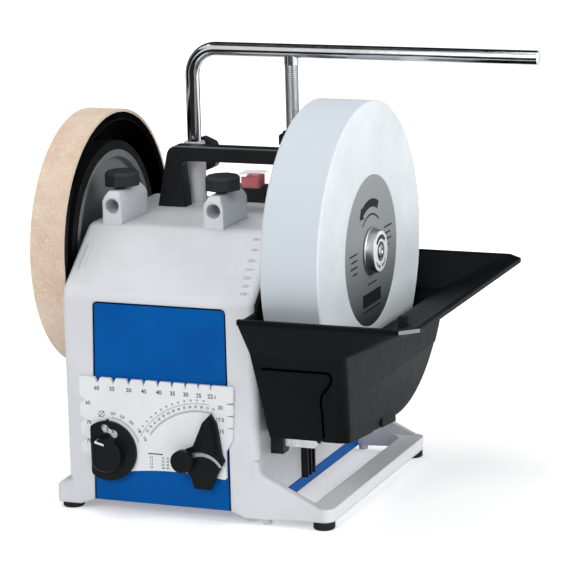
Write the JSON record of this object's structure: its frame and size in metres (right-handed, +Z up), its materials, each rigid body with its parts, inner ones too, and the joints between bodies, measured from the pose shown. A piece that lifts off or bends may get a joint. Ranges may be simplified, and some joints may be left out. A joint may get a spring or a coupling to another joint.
{
  "type": "wet sharpening machine",
  "caption": "Water-cooled sharpening machine with a large grindstone in a black trough, a leather honing wheel, silver cast housing, tool support bar and angle gauge.",
  "frame": {"origin": "floor level under the middle of the bounding box", "axes": "+X along the main shaft towards the grindstone, +Y to the back, +Z up"},
  "size_m": [0.394, 0.297, 0.3717],
  "materials": {
    "silver_paint": "silver paint on a light-alloy casting",
    "blue_paint": "satin",
    "stone": "matte, fine grained",
    "label": "matte print",
    "leather": "natural",
    "black_plastic": "fine grain",
    "trough_plastic": "satin",
    "grey_plastic": "satin",
    "white_plastic": "satin",
    "red_plastic": "gloss",
    "clear_plastic": "clear",
    "drive_rubber": "matte",
    "foot_rubber": "matte",
    "stainless": "polished",
    "zinc_screw": "zinc plated",
    "bronze": "machined",
    "motor_steel": "satin",
    "motor_alloy": "cast",
    "core_steel": "laminated"
  },
  "bodies": {
    "housing": {"housing": "silver_paint", "side_skirt": "silver_paint", "base_loop": "silver_paint", "tool_sleeves": "silver_paint", "front_panel": "blue_paint", "rear_panel": "blue_paint", "panel_screws": "zinc_screw", "bottom_plate": "blue_paint", "rubber_foot_1": "foot_rubber", "rubber_foot_2": "foot_rubber", "rubber_foot_3": "foot_rubber", "rubber_foot_4": "foot_rubber", "left_bush": "bronze", "right_bush": "bronze", "handle": "black_plastic", "handle_screws": "zinc_screw", "switch_base": "black_plastic", "switch_cover": "clear_plastic", "trough_rest": "black_plastic", "rest_screws": "zinc_screw", "cable_gland": "black_plastic", "motor_pin": "zinc_screw"},
    "spindle": {"main_shaft": "zinc_screw", "grindstone": "stone", "stone_label": "label", "stone_flange": "zinc_screw", "stone_nut": "stainless", "drive_wheel": "grey_plastic", "drive_tyre": "drive_rubber", "honing_wheel": "black_plastic", "honing_leather": "leather", "honing_nut": "black_plastic"},
    "motor": {"motor_can": "motor_steel", "motor_stator": "core_steel", "motor_caps": "motor_alloy", "motor_bearings": "zinc_screw", "motor_bracket": "motor_steel"},
    "rotor": {"motor_shaft": "zinc_screw", "rotor_core": "core_steel", "motor_fan": "black_plastic"},
    "support": {"support_bar": "stainless", "threaded_leg": "stainless"},
    "height_nut": {"adjust_nut": "black_plastic"},
    "front_left_lock": {"front_left_knob": "black_plastic", "front_left_screw": "zinc_screw"},
    "front_right_lock": {"front_right_knob": "black_plastic", "front_right_screw": "zinc_screw"},
    "rear_left_lock": {"rear_left_knob": "black_plastic", "rear_left_screw": "zinc_screw"},
    "rear_right_lock": {"rear_right_knob": "black_plastic", "rear_right_screw": "zinc_screw"},
    "rocker": {"switch_rocker": "red_plastic"},
    "trough": {"trough": "trough_plastic", "trough_block": "black_plastic", "trough_tongue": "stainless"},
    "gauge": {"gauge_plate": "white_plastic", "gauge_magnets": "zinc_screw"},
    "dial": {"gauge_dial": "black_plastic"},
    "pointer": {"gauge_pointer": "black_plastic"},
    "clamp": {"gauge_clamp": "black_plastic"}
  },
  "joints": [
    {"name": "spindle_turn", "type": "hinge", "parent": "housing", "child": "spindle", "pos_m": [0, 0, 0.208], "axis": [1, 0, 0], "continuous": true},
    {"name": "motor_swing", "type": "hinge", "parent": "housing", "child": "motor", "pos_m": [-0.098, 0.0785, 0.0752], "axis": [1, 0, 0], "range_deg": [-2, 0]},
    {"name": "rotor_turn", "type": "hinge", "parent": "motor", "child": "rotor", "pos_m": [-0.098, 0.063, 0.1457], "axis": [1, 0, 0], "continuous": true},
    {"name": "support_slide", "type": "slide", "parent": "housing", "child": "support", "axis": [0, 0, 1], "range_m": [0, 0.05]},
    {"name": "height_nut_turn", "type": "hinge", "parent": "support", "child": "height_nut", "pos_m": [-0.021, 0.05, 0.2895], "axis": [0, 0, 1], "range_deg": [-360, 360]},
    {"name": "front_left_lock_turn", "type": "hinge", "parent": "housing", "child": "front_left_lock", "pos_m": [-0.1408, -0.04, 0.262], "axis": [0, 0, 1], "range_deg": [0, 360]},
    {"name": "front_right_lock_turn", "type": "hinge", "parent": "housing", "child": "front_right_lock", "pos_m": [-0.0492, -0.04, 0.262], "axis": [0, 0, 1], "range_deg": [0, 360]},
    {"name": "rear_left_lock_turn", "type": "hinge", "parent": "housing", "child": "rear_left_lock", "pos_m": [-0.1126, 0.065, 0.2705], "axis": [0, 1, 0], "range_deg": [0, 360]},
    {"name": "rear_right_lock_turn", "type": "hinge", "parent": "housing", "child": "rear_right_lock", "pos_m": [-0.021, 0.065, 0.2705], "axis": [0, 1, 0], "range_deg": [0, 360]},
    {"name": "switch_rock", "type": "hinge", "parent": "housing", "child": "rocker", "pos_m": [-0.0648, 0.064, 0.2435], "axis": [1, 0, 0], "range_deg": [-7, 7]},
    {"name": "trough_lift", "type": "slide", "parent": "housing", "child": "trough", "axis": [0, 0, -1], "range_m": [0, 0.0197]},
    {"name": "gauge_pull", "type": "slide", "parent": "housing", "child": "gauge", "axis": [0, -1, 0], "range_m": [0, 0.06]},
    {"name": "dial_turn", "type": "hinge", "parent": "gauge", "child": "dial", "pos_m": [-0.1235, -0.1226, 0.0545], "axis": [0, -1, 0], "range_deg": [-68, 0]},
    {"name": "pointer_turn", "type": "hinge", "parent": "gauge", "child": "pointer", "pos_m": [-0.0404, -0.1226, 0.0376], "axis": [0, -1, 0], "range_deg": [0, 68]},
    {"name": "clamp_turn", "type": "hinge", "parent": "gauge", "child": "clamp", "pos_m": [-0.05358, -0.127, 0.05304], "axis": [0, -1, 0], "range_deg": [0, 180]}
  ],
  "couplings": [
    {"joint": "rotor_turn", "follows": "spindle_turn", "ratio": -15.66}
  ]
}
